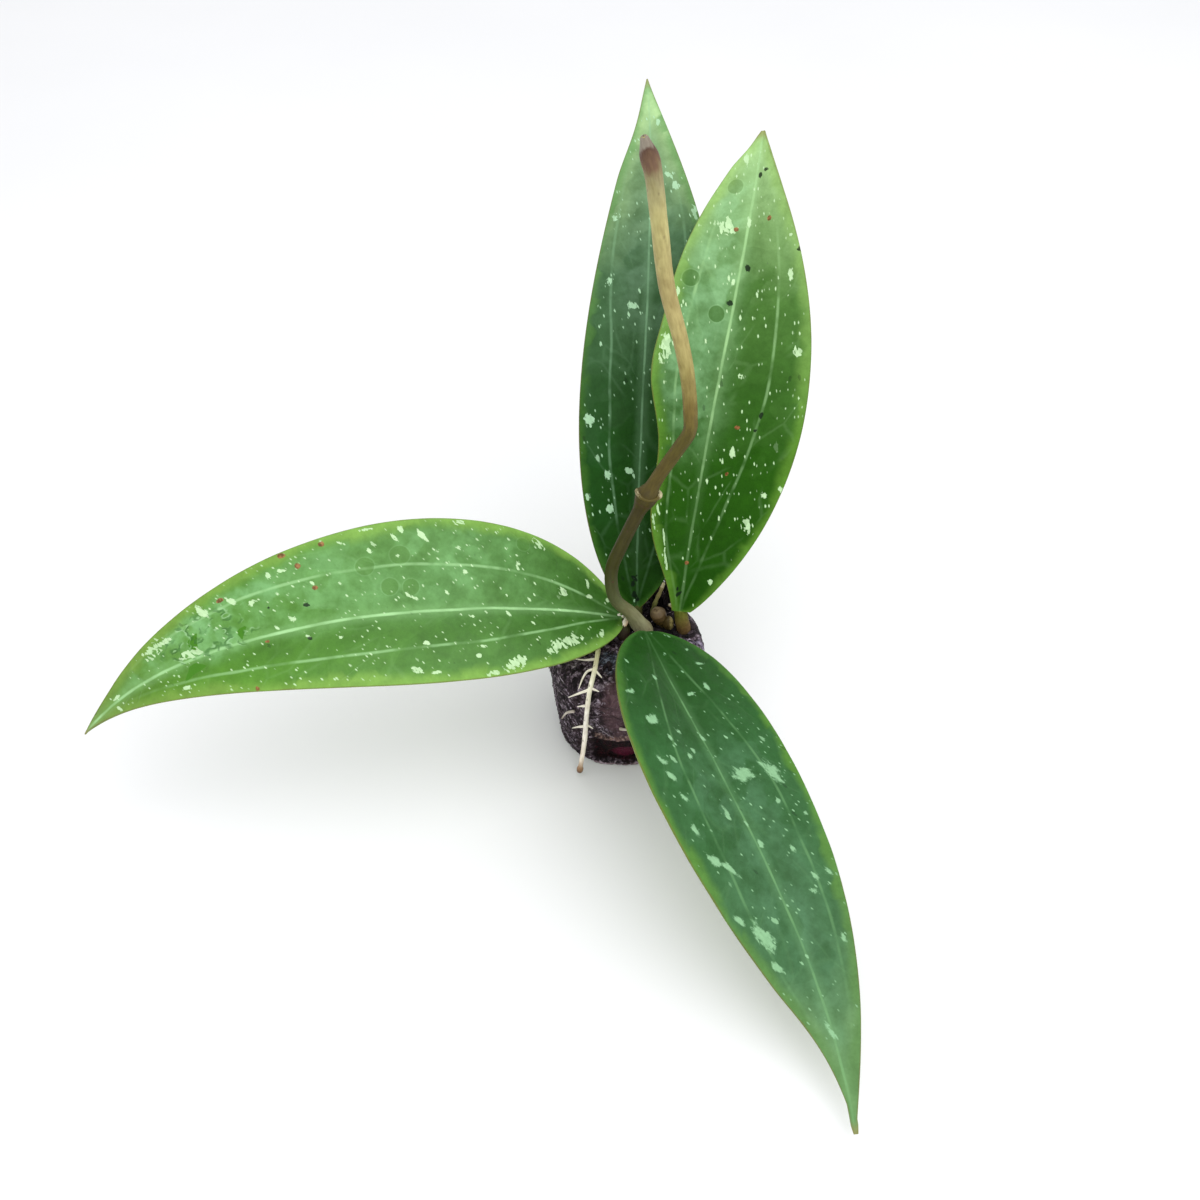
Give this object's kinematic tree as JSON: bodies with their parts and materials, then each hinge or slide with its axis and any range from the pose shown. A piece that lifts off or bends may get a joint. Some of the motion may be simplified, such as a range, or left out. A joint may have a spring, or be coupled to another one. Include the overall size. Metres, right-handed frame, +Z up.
{
  "type": "rooted hoya cutting in a growing plug",
  "caption": "Rooted hoya cutting with long pointed splashed leaves and a bare climbing vine, standing in a tapered dark rooting plug.",
  "frame": {"origin": "on the plug's flat bottom face, straight under the middle of the plug's top", "axes": "+Z up, +Y towards the two rising leaves at the back, -X towards the long arching leaf"},
  "size_m": [0.1879, 0.2114, 0.1664],
  "materials": {
    "plug_medium": "damp matted fibre, matte with fine pale specks",
    "vine_bark": "smooth olive to tan bark, satin",
    "stub_bark": "dry tan-brown bark, matte",
    "tendril_dry": "dry straw colour, matte",
    "leaf_mid_green": "waxy green with pale veins and silvery splashes, satin",
    "leaf_dark_green": "waxy dark green with pale veins and silvery splashes, satin",
    "leaf_blue_green": "waxy blue-green with pale veins and silvery splashes, satin",
    "leaf_bright_green": "waxy bright green with pale veins and silvery splashes, satin",
    "root_cream": "smooth cream root, satin",
    "root_grey": "dull greyish root, matte"
  },
  "bodies": {
    "root": {"plug": "plug_medium", "main_vine": "vine_bark", "cut_stub": "stub_bark", "dry_tendril": "tendril_dry", "leaf_left": "leaf_mid_green", "leaf_front": "leaf_dark_green", "leaf_back_left": "leaf_blue_green", "leaf_back_right": "leaf_bright_green", "main_root": "root_cream", "side_root_left": "root_grey", "side_root_front": "root_grey"}
  },
  "joints": []
}
